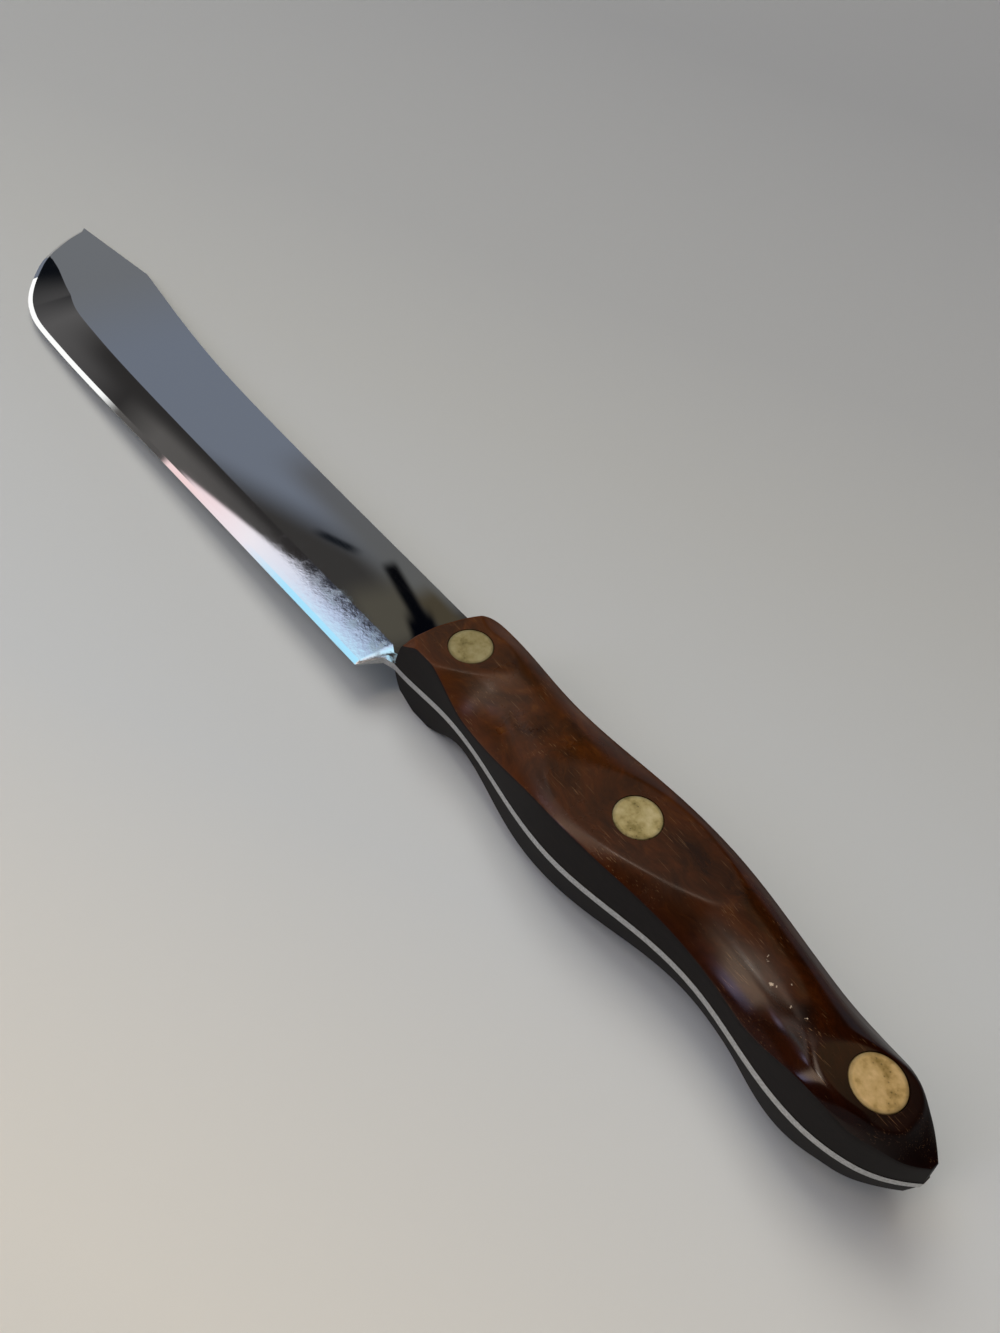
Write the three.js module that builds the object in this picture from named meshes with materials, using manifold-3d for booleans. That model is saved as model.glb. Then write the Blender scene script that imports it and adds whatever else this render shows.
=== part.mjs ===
// Butcher knife: a hollow-ground blade with a full tang, two sculpted handle scales
// and three two-piece cutler's rivets.
//
// Millimetres. X runs along the knife to the tip, Y across it towards the cutting edge
// and Z through its thickness. The pieces are drawn about the middle rivet's axis and the
// blade's middle plane, and the finished knife is set down with its lower flats on Z = 0.

import * as THREE from 'three';
import { mergeVertices } from 'three/addons/utils/BufferGeometryUtils.js';
import Module from 'manifold-3d';

// Rivets
const frontRivetPitch = 50.4;
const rearRivetPitch = 56.9;
const endRivetRise = 1.1; // the outer two sit this much nearer the belly than the middle one
const headDiameter = 9.5;
const headThickness = 2.2;
const headChamfer = 0.25;
const tubeDiameter = 5;
const pinDiameter = 3;
const rivetSides = 36;

// Fits
const boreClearance = 0.1; // round a rivet, on the radius and under its head
const seatClearance = 0.05; // between a scale and the tang

// Handle
const halfThickness = 10.3; // blade's middle plane to the flats that carry the rivet heads
const frontOverhang = 11.1; // front rivet to the handle's front face
const buttOverhang = 14.1; // rear rivet to the butt
const frontCrown = 20; // radius that rounds the front face from flat to flat
const frontCornerRun = 15; // front face to where the spine side starts to turn into it
const frontCornerDepth = 4; // rivet line to where that turn ends
const frontCornerFullness = 6; // more is squarer
const buttTurnRun = 21; // butt to where both sides start to turn into it
const buttDepth = 1.3; // rivet line to the middle of the butt
const buttFlat = 1.6; // width left at the butt
const buttFullness = 3; // more is squarer
const archFullness = 3; // 2 is a parabola across the handle, more is flatter on top
const archOverrun = 3; // the arch's feet meet this far past the butt

// Blade
const steelThickness = 1.8;
const bladeLength = 210.4; // handle's front face to the tip
const tipThickness = 1.1;
const spineRise = 8.9; // rivet line to the spine at the handle
const waistRise = 6.8; // to the spine where it is lowest
const waistLead = 64; // lowest place to the corner where the clip starts
const clipRise = 11; // rivet line to that corner
const clipLength = 36.2;
const tipRise = 5.9;
const choilRun = 2.8; // handle's front face to the notch behind the heel
const choilDepth = 13.3; // rivet line to the notch
const heelLead = 2.2; // notch to the heel
const heelDepth = 19.1; // rivet line to the cutting edge at the heel
const heelGrindWidth = 9.6; // cutting edge to the grind line at the heel
const grindWidth = 12.7; // and at the start of the nose
const grindRunOut = 0.51; // share of the nose over which the hollow grind runs out
const runOutCurve = 1.25; // 1 is an even run-out, more starts it later
const grindCurve = 1.8; // 1 is a flat grind, more is hollower
const shoulderThickness = 0.6; // steel left between the hollows, just behind the bevel
const bevelWidth = 1; // sharpened bevel
const edgeThickness = 0.1;

const frontRivet = frontRivetPitch;
const rearRivet = -rearRivetPitch;
const handleFront = frontRivet + frontOverhang;
const handleButt = rearRivet - buttOverhang;
const seat = steelThickness / 2 + seatClearance;
const heelX = handleFront + choilRun + heelLead;
const tip = new THREE.Vector2(handleFront + bladeLength, -tipRise);

// Crests and hollows of the handle seen from its side: place along it, and distance from
// the rivet line towards the cutting edge.
const bellyOutline = [
  [handleFront, 12.35],
  [frontRivet - 8, 11],
  [9.2, 14.05],
  [rearRivet + 31, 9.15],
  [rearRivet + 7, 11.6],
  [rearRivet - 6, 10.9],
];
const spineOutline = [
  [handleFront, -10.7],
  [frontRivet - 12, -10.2],
  [-14, -12.5],
  [rearRivet - 1, -9],
];

// How far the edge band leans in for each millimetre away from the tang.
const bandLean = [
  [handleFront - 3, 0.1],
  [frontRivet - 12, 0],
  [0, 0.15],
];

// Three guide curves of the sculpted side: place along the handle, and height above the
// flats. Where the surface would rise above the flats they cut it off.
const bellyGuide = [
  [handleFront, -4.3],
  [handleFront - 8, 0],
  [frontRivet - 12.3, -6.3],
  [12, -1.6],
  [rearRivet + 20.5, -6.8],
  [rearRivet + 7, -3.5],
  [handleButt + 1, -10.3],
];
const crownGuide = [
  [handleFront, 1.8],
  [frontRivet, 1.1],
  [frontRivet - 17, -0.95],
  [-4, 1.2],
  [rearRivet + 21, -0.8],
  [rearRivet + 16.5, -0.8],
  [rearRivet - 3.6, 1.9],
  [handleButt + 1, -4.3],
];
const spineGuide = [
  [handleFront, -3.4],
  [frontRivet - 2, -3.1],
  [frontRivet - 23.5, -4.7],
  [-2.5, -2.6],
  [rearRivet + 9, -6.6],
  [rearRivet - 1, -6.8],
  [handleButt + 6, -10.5],
];

// Round of the blade's nose, back from the tip: run and depth of the cutting edge.
const noseOutline = [
  [65.5, 27.2],
  [38.4, 26],
  [17.4, 15.4],
  [6.4, 4.4],
];

const rivetPlaces = {
  front: [frontRivet, endRivetRise],
  middle: [0, 0],
  rear: [rearRivet, endRivetRise],
};

// Fineness of the faceted surfaces
const outlineSteps = 44;
const ringLevels = 5;
const sculptStepsAlong = 84;
const sculptStepsAcross = 18;
const bladeSteps = 18;
const noseSteps = 14;
const hollowSteps = 4;

const wasm = await Module();
wasm.setup();

// A closed mesh as a solid that can be joined and cut.
function toSolid(geometry) {
  const bare = geometry.clone();
  bare.deleteAttribute('normal');
  bare.deleteAttribute('uv');
  const merged = mergeVertices(bare);
  return new wasm.Manifold(
    new wasm.Mesh({
      numProp: 3,
      vertProperties: new Float32Array(merged.attributes.position.array),
      triVerts: new Uint32Array(merged.index.array),
    }),
  );
}

function toGeometry(solid) {
  const mesh = solid.getMesh();
  const geometry = new THREE.BufferGeometry();
  geometry.setAttribute('position', new THREE.BufferAttribute(mesh.vertProperties, 3));
  geometry.setIndex(new THREE.BufferAttribute(mesh.triVerts, 1));
  geometry.computeVertexNormals();
  return geometry;
}

// Skin over a row of rings. Each ring runs out along one side of the piece and back along
// the other, so both ends close as a ladder of quads.
function loft(rings) {
  const size = rings[0].length;
  const index = [];
  const quad = (a, b, c, d) => index.push(a, b, c, a, c, d);
  for (let ring = 0; ring + 1 < rings.length; ring++) {
    for (let i = 0; i < size; i++) {
      const j = (i + 1) % size;
      quad(ring * size + i, ring * size + j, (ring + 1) * size + j, (ring + 1) * size + i);
    }
  }
  const last = (rings.length - 1) * size;
  for (let i = 0; i + 1 < size / 2; i++) {
    const far = size - 1 - i;
    quad(i, far, far - 1, i + 1);
    quad(last + i, last + i + 1, last + far - 1, last + far);
  }
  const geometry = new THREE.BufferGeometry().setFromPoints(rings.flat());
  geometry.setIndex(index);
  return geometry;
}

// Smooth wave through crests and hollows listed from front to butt: half a cosine between
// each pair, level past the first and the last.
function wave(stations, x) {
  const next = stations.findIndex(([place]) => place <= x);
  if (next === 0) return stations[0][1];
  if (next < 0) return stations.at(-1)[1];
  const [x0, y0] = stations[next - 1];
  const [x1, y1] = stations[next];
  const share = (x0 - x) / (x0 - x1);
  return THREE.MathUtils.lerp(y0, y1, (1 - Math.cos(Math.PI * share)) / 2);
}

// Turns an edge in towards the value `end`, which it reaches at `limit`.
function turnIn(y, end, x, start, limit, fullness) {
  const run = THREE.MathUtils.clamp((x - start) / (limit - start), 0, 1);
  return THREE.MathUtils.lerp(y, end, run ** fullness);
}

function bellyEdge(x, butt, inset) {
  const y = wave(bellyOutline, x) - inset;
  return turnIn(y, buttDepth + buttFlat / 2, x, handleButt + buttTurnRun, butt, buttFullness);
}

function spineEdge(x, front, butt, inset) {
  const y = wave(spineOutline, x) + inset;
  const end = buttDepth - buttFlat / 2;
  const turned = turnIn(y, end, x, handleButt + buttTurnRun, butt, buttFullness);
  const start = handleFront - frontCornerRun;
  return turnIn(turned, frontCornerDepth, x, start, front, frontCornerFullness);
}

// Places along the handle, closer together towards its ends.
function placesAlong(front, butt) {
  return Array.from({ length: outlineSteps + 1 }, (_, i) => {
    return (front + butt + (front - butt) * Math.cos((Math.PI * i) / outlineSteps)) / 2;
  });
}

// Outline of the handle at a height above the blade's middle plane.
function handleRing(z) {
  const front = handleFront - z ** 2 / (2 * frontCrown);
  const butt = handleButt + wave(bandLean, handleButt) * z;
  const belly = [];
  const spine = [];
  for (const x of placesAlong(front, butt)) {
    const inset = wave(bandLean, x) * z;
    belly.push(new THREE.Vector3(x, bellyEdge(x, butt, inset), z));
    spine.unshift(new THREE.Vector3(x, spineEdge(x, front, butt, inset), z));
  }
  return [...belly, ...spine];
}

// Height of the sculpted side: an arch across the handle through the three guides. Its feet
// follow the outline, which is carried on past both ends for this.
function sculptedHeight(x, y) {
  const railFront = tip.x;
  const railButt = handleButt - archOverrun;
  const belly = wave(bellyGuide, x);
  const crown = wave(crownGuide, x);
  const spine = wave(spineGuide, x);
  const bellyRail = bellyEdge(x, railButt, 0);
  const spineRail = spineEdge(x, railFront, railButt, 0);
  const across = (2 * (bellyRail - y)) / (bellyRail - spineRail) - 1;
  const tilt = ((spine - belly) / 2) * across;
  const arch = ((belly + spine) / 2 - crown) * Math.abs(across) ** archFullness;
  return halfThickness + crown + tilt + arch;
}

// Block on the tang's face whose top is the sculpted surface.
function sculptedBlock() {
  const belly = Math.max(...bellyOutline.map(([, y]) => y));
  const spine = Math.min(...spineOutline.map(([, y]) => y));
  const spare = 1;
  const length = handleFront - handleButt + 2 * spare;
  const width = belly - spine + 2 * spare;
  const block = new THREE.BoxGeometry(length, width, 1, sculptStepsAlong, sculptStepsAcross, 1);
  block.translate((handleFront + handleButt) / 2, (belly + spine) / 2, 0);
  const position = block.attributes.position;
  for (let i = 0; i < position.count; i++) {
    const top = sculptedHeight(position.getX(i), position.getY(i));
    position.setZ(i, position.getZ(i) > 0 ? Math.max(top, seat + spare) : seat);
  }
  return toSolid(block);
}

// Round cutter standing across the knife at a rivet.
function cutter([x, y], radius, bottom, top) {
  const cylinder = new THREE.CylinderGeometry(radius, radius, top - bottom, rivetSides);
  cylinder.rotateX(Math.PI / 2);
  cylinder.translate(x, y, (bottom + top) / 2);
  return toSolid(cylinder);
}

function upperScale() {
  const rings = [];
  for (let level = 0; level <= ringLevels; level++) {
    rings.push(handleRing(THREE.MathUtils.lerp(seat, halfThickness, level / ringLevels)));
  }
  let scale = toSolid(loft(rings)).intersect(sculptedBlock());
  const above = halfThickness + headThickness;
  for (const place of Object.values(rivetPlaces)) {
    const shank = cutter(place, tubeDiameter / 2 + boreClearance, 0, above);
    const head = headDiameter / 2 + boreClearance;
    const headSeat = halfThickness - headThickness - boreClearance;
    scale = scale.subtract(shank).subtract(cutter(place, head, headSeat, above));
  }
  return toGeometry(scale);
}

// The lower scale is the upper one seen in the blade's middle plane.
function mirrored(geometry) {
  const copy = geometry.clone().scale(1, 1, -1);
  const index = copy.index;
  for (let i = 0; i < index.count; i += 3) {
    const first = index.getX(i);
    index.setX(i, index.getX(i + 1));
    index.setX(i + 1, first);
  }
  copy.computeVertexNormals();
  return copy;
}

// Half thickness of the blade at a distance from its cutting edge, behind the bevel.
function groundHalf(flat, grind, distance) {
  const ground = THREE.MathUtils.clamp((grind - distance) / grindWidth, 0, 1);
  return THREE.MathUtils.lerp(shoulderThickness / 2, flat, (1 - ground) ** grindCurve);
}

// Section of the blade from its edge up one face to the spine and back down the other.
function bladeSection({ edge, spine, flat, grind, edgeHalf }) {
  const across = edge.distanceTo(spine);
  const hollowEnd = Math.max(grind, 2 * bevelWidth);
  const fit = Math.min(1, across / (hollowEnd + bevelWidth));
  const upper = [];
  const lower = [];
  const add = (distance, half) => {
    const point = edge.clone().lerp(spine, distance / across);
    upper.push(new THREE.Vector3(point.x, point.y, half));
    lower.unshift(new THREE.Vector3(point.x, point.y, -half));
  };
  add(0, edgeHalf);
  for (let i = 0; i <= hollowSteps; i++) {
    const distance = THREE.MathUtils.lerp(bevelWidth, hollowEnd, i / hollowSteps);
    add(distance * fit, groundHalf(flat, grind, distance));
  }
  add(across, flat);
  return [...upper, ...lower];
}

// Cutting edge from heel to tip, spine from the handle to the clip's corner, and the clip.
function bladeCurves() {
  const heel = new THREE.Vector2(heelX, heelDepth);
  const nose = noseOutline.map(([run, depth]) => new THREE.Vector2(tip.x - run, depth));
  const middle = heel.clone().lerp(nose[0], 0.5);
  const root = new THREE.Vector2(handleFront, -spineRise);
  const corner = new THREE.Vector2(tip.x - clipLength, -clipRise);
  const waist = new THREE.Vector2(corner.x - waistLead, -waistRise);
  return {
    edge: new THREE.SplineCurve([heel, middle, ...nose, tip]),
    noseStart: 3 / (nose.length + 2),
    spine: new THREE.SplineCurve([root, waist, corner]),
    clip: new THREE.LineCurve(corner, tip),
  };
}

// Full-thickness sections from the butt to the notch behind the heel.
function tangSections() {
  const flat = steelThickness / 2;
  const section = (x, edgeY, spineY) => {
    const edge = new THREE.Vector2(x, edgeY);
    const spine = new THREE.Vector2(x, spineY);
    return bladeSection({ edge, spine, flat, grind: 0, edgeHalf: flat });
  };
  const sections = placesAlong(handleButt, handleFront).map((x) => {
    const spine = spineEdge(x, tip.x, handleButt, 0);
    const start = handleFront - frontCornerRun;
    const faired = turnIn(spine, -spineRise, x, start, handleFront, 1);
    return section(x, bellyEdge(x, handleButt, 0), faired);
  });
  return [...sections, section(handleFront + choilRun, choilDepth, -spineRise)];
}

// Ground sections from the heel to just short of the tip.
function groundSections() {
  const { edge, noseStart, spine, clip } = bladeCurves();
  const section = (edgePoint, spinePoint, grind) => {
    const share = (edgePoint.x - heelX) / (tip.x - heelX);
    const flat = THREE.MathUtils.lerp(steelThickness, tipThickness, share) / 2;
    const edgeHalf = edgeThickness / 2;
    return bladeSection({ edge: edgePoint, spine: spinePoint, flat, grind, edgeHalf });
  };
  const sections = [];
  const heelShare = (heelX - handleFront) / spine.getLength();
  const noseX = edge.getPoint(noseStart).x;
  for (let i = 0; i <= bladeSteps; i++) {
    const edgePoint = edge.getPoint((noseStart * i) / bladeSteps);
    const share = THREE.MathUtils.inverseLerp(heelX, noseX, edgePoint.x);
    const spinePoint = spine.getPointAt(THREE.MathUtils.lerp(heelShare, 1, share));
    const grind = THREE.MathUtils.lerp(heelGrindWidth, grindWidth, share ** 2);
    sections.push(section(edgePoint, spinePoint, grind));
  }
  for (let i = 1; i <= noseSteps; i++) {
    const share = Math.min(i / noseSteps, 1 - edgeThickness / clipLength);
    const edgePoint = edge.getPoint(THREE.MathUtils.lerp(noseStart, 1, share));
    const grind = grindWidth * Math.max(0, 1 - (share / grindRunOut) ** runOutCurve);
    sections.push(section(edgePoint, clip.getPoint(share), grind));
  }
  return sections;
}

function bladeAndTang() {
  let steel = toSolid(loft([...tangSections(), ...groundSections()]));
  for (const place of Object.values(rivetPlaces)) {
    const radius = tubeDiameter / 2 + boreClearance;
    steel = steel.subtract(cutter(place, radius, -steelThickness, steelThickness));
  }
  return toGeometry(steel);
}

// Both halves of a rivet are turned about its axis. The lower half's shank is a tube that
// ends just under the upper head, and the upper half's pin fills it.
function rivetTube() {
  const bore = pinDiameter / 2 + boreClearance;
  const headTop = headThickness - halfThickness;
  const mouth = halfThickness - headThickness - boreClearance;
  return turned([
    [0, -halfThickness],
    [headDiameter / 2 - headChamfer, -halfThickness],
    [headDiameter / 2, -halfThickness + headChamfer],
    [headDiameter / 2, headTop],
    [tubeDiameter / 2, headTop],
    [tubeDiameter / 2, mouth],
    [bore, mouth],
    [bore, headTop],
    [0, headTop],
  ]);
}

function rivetPin() {
  const headBottom = halfThickness - headThickness;
  const point = headThickness - halfThickness + boreClearance;
  return turned([
    [0, point],
    [pinDiameter / 2, point],
    [pinDiameter / 2, headBottom],
    [headDiameter / 2, headBottom],
    [headDiameter / 2, halfThickness - headChamfer],
    [headDiameter / 2 - headChamfer, halfThickness],
    [0, halfThickness],
  ]);
}

function turned(profile) {
  const points = profile.map(([radius, height]) => new THREE.Vector2(radius, height));
  return new THREE.LatheGeometry(points, rivetSides).rotateX(Math.PI / 2);
}

const stainlessSteel = new THREE.MeshStandardMaterial({
  color: '#c4c7ca',
  roughness: 0.12,
  metalness: 1,
});
const marbledResin = new THREE.MeshStandardMaterial({
  color: '#4a2a14',
  roughness: 0.25,
  metalness: 0,
});
const nickelSilver = new THREE.MeshStandardMaterial({
  color: '#b3a67a',
  roughness: 0.4,
  metalness: 1,
});

const knife = new THREE.Group();

function addPiece(name, geometry, material) {
  const mesh = new THREE.Mesh(geometry, material);
  mesh.name = name;
  knife.add(mesh);
  return mesh;
}

addPiece('blade_and_tang', bladeAndTang(), stainlessSteel);
const scale = upperScale();
addPiece('upper_scale', scale, marbledResin);
addPiece('lower_scale', mirrored(scale), marbledResin);
for (const [name, [x, y]] of Object.entries(rivetPlaces)) {
  addPiece(`${name}_rivet_tube`, rivetTube(), nickelSilver).position.set(x, y, 0);
  addPiece(`${name}_rivet_pin`, rivetPin(), nickelSilver).position.set(x, y, 0);
}

const extent = new THREE.Box3().setFromObject(knife);
const centre = extent.getCenter(new THREE.Vector3());
knife.position.set(-centre.x, -centre.y, -extent.min.z);

export default knife;
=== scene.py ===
"""Butcher knife: a hollow-ground blade, two sculpted scales of marbled resin and three rivets.

The pieces are drawn in millimetres about the middle rivet's axis and the blade's middle plane,
with X towards the tip, Y towards the cutting edge and Z up, and are then set into the frame.
"""

import math

import bmesh
import bpy
from mathutils import Matrix, Vector


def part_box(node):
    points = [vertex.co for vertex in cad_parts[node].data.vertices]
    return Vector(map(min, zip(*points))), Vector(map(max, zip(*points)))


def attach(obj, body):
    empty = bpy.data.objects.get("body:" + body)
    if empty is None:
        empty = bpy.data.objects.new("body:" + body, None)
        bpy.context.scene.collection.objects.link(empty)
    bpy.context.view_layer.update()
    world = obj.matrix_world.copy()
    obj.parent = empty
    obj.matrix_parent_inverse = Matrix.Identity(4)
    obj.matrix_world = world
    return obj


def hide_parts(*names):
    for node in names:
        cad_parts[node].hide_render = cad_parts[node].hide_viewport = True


bl_info = {
    "name": "Butcher Knife",
    "version": (1, 0, 0),
    "blender": (4, 5, 0),
    "location": "View3D > Sidebar > Knife",
    "description": "Models and finishes a full-tang butcher knife around its frame",
    "category": "Object",
}

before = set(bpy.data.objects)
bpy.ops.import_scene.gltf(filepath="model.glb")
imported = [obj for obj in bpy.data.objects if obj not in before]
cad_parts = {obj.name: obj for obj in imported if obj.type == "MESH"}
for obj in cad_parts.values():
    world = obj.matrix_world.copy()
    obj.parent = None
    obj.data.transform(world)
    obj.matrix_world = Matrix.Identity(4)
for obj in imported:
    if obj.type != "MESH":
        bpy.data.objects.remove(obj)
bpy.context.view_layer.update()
MM = 0.001


def box_in_mm(node):
    low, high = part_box(node)
    return low / MM, high / MM


# Places taken from the frame, in millimetres
RIVET_NAMES = ("front", "middle", "rear")
PIN_BOXES = {name: box_in_mm(f"{name}_rivet_pin") for name in RIVET_NAMES}
BLADE_LOW, BLADE_HIGH = box_in_mm("blade_and_tang")
SCALE_LOW, SCALE_HIGH = box_in_mm("upper_scale")
ORIGIN = (PIN_BOXES["middle"][0] + PIN_BOXES["middle"][1]) / 2
ORIGIN.z = (BLADE_LOW.z + BLADE_HIGH.z) / 2
RIVETS = {name: (low + high) / 2 - ORIGIN for name, (low, high) in PIN_BOXES.items()}
FRONT_RIVET = RIVETS["front"].x
REAR_RIVET = RIVETS["rear"].x
HEAD_DIAMETER = PIN_BOXES["middle"][1].x - PIN_BOXES["middle"][0].x
HALF_THICKNESS = SCALE_HIGH.z - ORIGIN.z
STEEL_THICKNESS = BLADE_HIGH.z - BLADE_LOW.z
SEAT = SCALE_LOW.z - ORIGIN.z
BUTT = BLADE_LOW.x - ORIGIN.x
TIP_X = BLADE_HIGH.x - ORIGIN.x

# Rivets
HEAD_THICKNESS = 2.2
TUBE_DIAMETER = 5.0
PIN_DIAMETER = 3.0
BORE_CLEARANCE = 0.1
RIVET_STEPS = 72
RIM_DIRT = 0.5

# Handle
FRONT_CROWN = 20.0
FRONT_CORNER_RUN = 15.0
FRONT_CORNER_DEPTH = 4.0
FRONT_CORNER_FULLNESS = 6
BUTT_TURN_RUN = 21.0
BUTT_DEPTH = 1.3
BUTT_FLAT = 1.6
BUTT_FULLNESS = 3
ARCH_FULLNESS = 3
ARCH_OVERRUN = 3.0
LEAST_BAND = 1.0
HANDLE_FRONT = SCALE_HIGH.x - ORIGIN.x + SEAT**2 / (2 * FRONT_CROWN)

# Crests and hollows along the handle, from front to butt: place and distance from the rivet line
BELLY_OUTLINE = (
    (HANDLE_FRONT, 12.35),
    (FRONT_RIVET - 8, 11.0),
    (9.2, 14.05),
    (REAR_RIVET + 31, 9.15),
    (REAR_RIVET + 7, 11.6),
    (REAR_RIVET - 6, 10.9),
)
SPINE_OUTLINE = (
    (HANDLE_FRONT, -10.7),
    (FRONT_RIVET - 12, -10.2),
    (-14.0, -12.5),
    (REAR_RIVET - 1, -9.0),
)
BAND_LEAN = ((HANDLE_FRONT - 3, 0.1), (FRONT_RIVET - 12, 0.0), (0.0, 0.15))

# Guides of the sculpted side, from front to butt: place and height above the flats
BELLY_GUIDE = (
    (HANDLE_FRONT, -4.3),
    (HANDLE_FRONT - 8, 0.0),
    (FRONT_RIVET - 12.3, -6.3),
    (12.0, -1.6),
    (REAR_RIVET + 20.5, -6.8),
    (REAR_RIVET + 7, -3.5),
    (BUTT + 1, -10.3),
)
CROWN_GUIDE = (
    (HANDLE_FRONT, 1.8),
    (FRONT_RIVET, 1.1),
    (FRONT_RIVET - 17, -0.95),
    (-4.0, 1.2),
    (REAR_RIVET + 21, -0.8),
    (REAR_RIVET + 16.5, -0.8),
    (REAR_RIVET - 3.6, 1.9),
    (BUTT + 1, -4.3),
)
SPINE_GUIDE = (
    (HANDLE_FRONT, -3.4),
    (FRONT_RIVET - 2, -3.1),
    (FRONT_RIVET - 23.5, -4.7),
    (-2.5, -2.6),
    (REAR_RIVET + 9, -6.6),
    (REAR_RIVET - 1, -6.8),
    (BUTT + 6, -10.5),
)
RIDGE_WEAR = ((-20.0, 1.0), (REAR_RIVET + 8, 3.0))
SCALE_STEPS_ALONG = 340
SCALE_STEPS_ACROSS = 76
ROUND_STEPS = 5
WALL_STEPS = 6
SETTLE_STEPS = 4
SCALE_LAYERS = ("along", "across", "thin")
BAND_START = 0.5
THIN_REACH = 1.6

# Blade
TIP_THICKNESS = 1.1
TIP_RISE = 5.9
SPINE_RISE = 8.9
WAIST_RISE = 6.8
WAIST_LEAD = 64.0
CLIP_RISE = 11.0
CLIP_LENGTH = 36.2
CHOIL_RUN = 2.8
CHOIL_DEPTH = 13.3
HEEL_RUN = 2.2
HEEL_X = HANDLE_FRONT + CHOIL_RUN + HEEL_RUN
HEEL_DEPTH = 19.1
HEEL_GRIND_WIDTH = 9.6
GRIND_WIDTH = 12.7
GRIND_RUN_OUT = 0.51
RUN_OUT_CURVE = 1.25
GRIND_CURVE = 1.8
SHOULDER_THICKNESS = 0.6
BEVEL_WIDTH = 1.35
EDGE_THICKNESS = 0.1
NOSE_OUTLINE = ((65.5, 27.2), (38.4, 26.0), (17.4, 15.4), (6.4, 4.4))
TANG_STEPS = 70
BODY_STEPS = 200
NOSE_STEPS = 110
HOLLOW_STEPS = 16
FLAT_STEPS = 10
PLACE_HALVINGS = 30
CREASED_ROWS = {1, 1 + HOLLOW_STEPS}

# Meshes: doubles in metres, the angle of a sharp edge, and half the side of a sheet to be laid
MERGE_DISTANCE = 1e-7
SHARP_ANGLE = math.radians(32)
HALF_SHEET = 0.5

# Camera: place in millimetres from the middle rivet, turn, lens in millimetres and near clip in
# metres
CAMERA_PLACE = Vector((-56.48, 92.47, 163.06))
CAMERA_RIGHT = Vector((-0.6001011, -0.7943340, 0.0944043))
CAMERA_UP = Vector((0.6361438, -0.4023479, 0.6583595))
CAMERA_LENS = 27.244
CAMERA_NEAR = 0.01


def linear(code):
    """An sRGB hex colour as linear red, green, blue and alpha."""
    parts = [int(code[i : i + 2], 16) / 255 for i in (1, 3, 5)]
    return (*[c / 12.92 if c <= 0.04045 else ((c + 0.055) / 1.055) ** 2.4 for c in parts], 1.0)


def lerp(a, b, share):
    return a + (b - a) * share


def clamp(value):
    return min(1.0, max(0.0, value))


# Shape of the handle


def wave(stations, x):
    """Half a cosine between each pair of stations, level past the first and the last."""
    if x >= stations[0][0]:
        return stations[0][1]
    for (x0, y0), (x1, y1) in zip(stations, stations[1:]):
        if x > x1:
            return lerp(y0, y1, (1 - math.cos(math.pi * (x0 - x) / (x0 - x1))) / 2)
    return stations[-1][1]


def turn_in(y, end, x, start, limit, fullness):
    """Turns an edge in towards the value end, which it reaches at limit."""
    return lerp(y, end, clamp((x - start) / (limit - start)) ** fullness)


def belly_edge(x, butt, inset):
    y = wave(BELLY_OUTLINE, x) - inset
    return turn_in(y, BUTT_DEPTH + BUTT_FLAT / 2, x, BUTT + BUTT_TURN_RUN, butt, BUTT_FULLNESS)


def spine_edge(x, front, butt, inset):
    y = wave(SPINE_OUTLINE, x) + inset
    y = turn_in(y, BUTT_DEPTH - BUTT_FLAT / 2, x, BUTT + BUTT_TURN_RUN, butt, BUTT_FULLNESS)
    start = HANDLE_FRONT - FRONT_CORNER_RUN
    return turn_in(y, FRONT_CORNER_DEPTH, x, start, front, FRONT_CORNER_FULLNESS)


def outline_point(along, across, z, inset):
    """Place on the handle's outline at a height.

    along runs from butt to front, and across from belly to spine.
    """
    front = HANDLE_FRONT - z**2 / (2 * FRONT_CROWN) - inset
    butt = BUTT + wave(BAND_LEAN, BUTT) * z + inset
    x = (front + butt - (front - butt) * math.cos(math.pi * along)) / 2
    lean = wave(BAND_LEAN, x) * z + inset
    belly = belly_edge(x, butt, lean)
    spine = spine_edge(x, front, butt, lean)
    return Vector((x, lerp(belly, spine, across), z))


def sculpted_height(x, y, softness):
    """An arch across the handle through its guides, cut off by the flats with a soft ridge."""
    belly = wave(BELLY_GUIDE, x)
    crown = wave(CROWN_GUIDE, x)
    spine = wave(SPINE_GUIDE, x)
    belly_rail = belly_edge(x, BUTT - ARCH_OVERRUN, 0)
    spine_rail = spine_edge(x, TIP_X, BUTT - ARCH_OVERRUN, 0)
    across = 2 * (belly_rail - y) / (belly_rail - spine_rail) - 1
    tilt = (spine - belly) / 2 * across
    above = crown + tilt + ((belly + spine) / 2 - crown) * abs(across) ** ARCH_FULLNESS
    softness *= wave(RIDGE_WEAR, x)
    if above >= softness:
        return HALF_THICKNESS
    if above <= -softness:
        return HALF_THICKNESS + above
    return HALF_THICKNESS - (softness - above) ** 2 / (4 * softness)


def top_point(along, across, inset, softness):
    """Place on the sculpted side, whose outline leans in as it rises."""
    z = HALF_THICKNESS
    for _ in range(SETTLE_STEPS):
        point = outline_point(along, across, z, inset)
        z = max(sculpted_height(point.x, point.y, softness), SEAT + LEAST_BAND)
    return outline_point(along, across, z, inset)


# Shape of the blade


def curve_through(points, t):
    """Smooth curve through points, t from 0 at the first to 1 at the last."""
    spans = len(points) - 1
    index = min(int(t * spans), spans - 1)
    t = t * spans - index
    before, start = points[max(index - 1, 0)], points[index]
    end, after = points[index + 1], points[min(index + 2, spans)]
    leave, arrive = (end - before) / 2, (after - start) / 2
    cubic = 2 * start - 2 * end + leave + arrive
    square = 3 * end - 3 * start - 2 * leave - arrive
    return ((cubic * t + square) * t + leave) * t + start


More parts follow.
